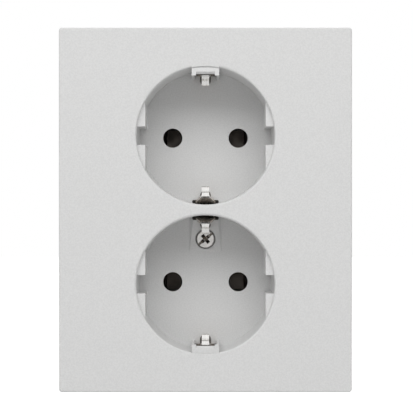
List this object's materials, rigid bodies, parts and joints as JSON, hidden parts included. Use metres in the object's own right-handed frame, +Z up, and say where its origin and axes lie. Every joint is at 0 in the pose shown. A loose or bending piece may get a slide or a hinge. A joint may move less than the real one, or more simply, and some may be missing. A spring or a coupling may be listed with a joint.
{
  "type": "double earthed wall socket",
  "caption": "Double earthed wall socket: a square-edged plate with round recessed wells above each other, on a flush-box insert with spreading claws.",
  "frame": {"origin": "centre of the two box-screw holes on the back face of the support frame, in the wall plane, midway between the wells", "axes": "+X right as seen from the room, +Y into the wall, +Z up"},
  "size_m": [0.082, 0.048, 0.102],
  "materials": {
    "cover_plastic": "fine matte grain, light grey",
    "housing_plastic": "moulded dark grey, slight sheen",
    "rear_plastic": "moulded mid grey, slight sheen",
    "lever_plastic": "satin orange",
    "zinc_steel": "bright zinc plate, brushed",
    "nickel_strip": "bright nickel plate",
    "nickel_screw": "bright nickel plate, turned",
    "spring_steel": "bare spring steel",
    "brass": "turned brass",
    "bar_steel": "dark rolled steel strip",
    "contact_bronze": "dark tarnished bronze strip"
  },
  "bodies": {
    "insert": {"cover_face": "cover_plastic", "cover_walls": "cover_plastic", "well_wall_top": "cover_plastic", "well_wall_bottom": "cover_plastic", "well_floor_top": "cover_plastic", "well_floor_bottom": "cover_plastic", "housing_front": "housing_plastic", "base_housing": "housing_plastic", "rear_cover": "rear_plastic", "rear_cover_screws": "zinc_steel", "support_frame": "zinc_steel", "frame_rivets": "nickel_screw", "earth_bar": "bar_steel", "earth_contact_top": "nickel_strip", "earth_contact_middle": "nickel_strip", "earth_contact_bottom": "nickel_strip", "earth_contact_rivets": "nickel_screw", "live_contact": "contact_bronze", "neutral_contact": "contact_bronze", "cover_screw": "nickel_screw", "cover_nut": "brass", "live_clamp_spring": "spring_steel", "earth_clamp_spring": "spring_steel", "neutral_clamp_spring": "spring_steel"},
    "claw_screw_left": {"claw_screw_left": "zinc_steel"},
    "claw_nut_left": {"claw_nut_left": "zinc_steel"},
    "claw_left": {"claw_left": "zinc_steel"},
    "claw_screw_right": {"claw_screw_right": "zinc_steel"},
    "claw_nut_right": {"claw_nut_right": "zinc_steel"},
    "claw_right": {"claw_right": "zinc_steel"},
    "live_release_lever": {"live_release_lever": "lever_plastic"},
    "earth_release_lever": {"earth_release_lever": "lever_plastic"},
    "neutral_release_lever": {"neutral_release_lever": "lever_plastic"}
  },
  "joints": [
    {"name": "claw_screw_left_turn", "type": "hinge", "parent": "insert", "child": "claw_screw_left", "pos_m": [-0.0195, 0, 0], "axis": [0, 1, 0], "range_deg": [0, 2521]},
    {"name": "claw_nut_left_draw", "type": "slide", "parent": "insert", "child": "claw_nut_left", "axis": [0, -1, 0], "range_m": [0, 0.0049]},
    {"name": "claw_left_spread", "type": "slide", "parent": "insert", "child": "claw_left", "axis": [-0.5736, -0.8192, 0], "range_m": [0, 0.00599]},
    {"name": "claw_screw_right_turn", "type": "hinge", "parent": "insert", "child": "claw_screw_right", "pos_m": [0.0195, 0, 0], "axis": [0, 1, 0], "range_deg": [0, 2521]},
    {"name": "claw_nut_right_draw", "type": "slide", "parent": "insert", "child": "claw_nut_right", "axis": [0, -1, 0], "range_m": [0, 0.0049]},
    {"name": "claw_right_spread", "type": "slide", "parent": "insert", "child": "claw_right", "axis": [0.5736, -0.8192, 0], "range_m": [0, 0.00599]},
    {"name": "live_release_push", "type": "slide", "parent": "insert", "child": "live_release_lever", "axis": [0, -1, 0], "range_m": [0, 0.0016], "stiffness_N_per_m": 1000, "springref_m": -0.001, "deforming": ["live_clamp_spring"]},
    {"name": "earth_release_push", "type": "slide", "parent": "insert", "child": "earth_release_lever", "axis": [0, -1, 0], "range_m": [0, 0.0016], "stiffness_N_per_m": 1000, "springref_m": -0.001, "deforming": ["earth_clamp_spring"]},
    {"name": "neutral_release_push", "type": "slide", "parent": "insert", "child": "neutral_release_lever", "axis": [0, -1, 0], "range_m": [0, 0.0016], "stiffness_N_per_m": 1000, "springref_m": -0.001, "deforming": ["neutral_clamp_spring"]}
  ],
  "couplings": [
    {"joint": "claw_screw_left_turn", "follows": "claw_nut_left_draw", "rad_per_m": 8976},
    {"joint": "claw_left_spread", "follows": "claw_nut_left_draw", "ratio": 1.2208},
    {"joint": "claw_screw_right_turn", "follows": "claw_nut_right_draw", "rad_per_m": 8976},
    {"joint": "claw_right_spread", "follows": "claw_nut_right_draw", "ratio": 1.2208}
  ]
}
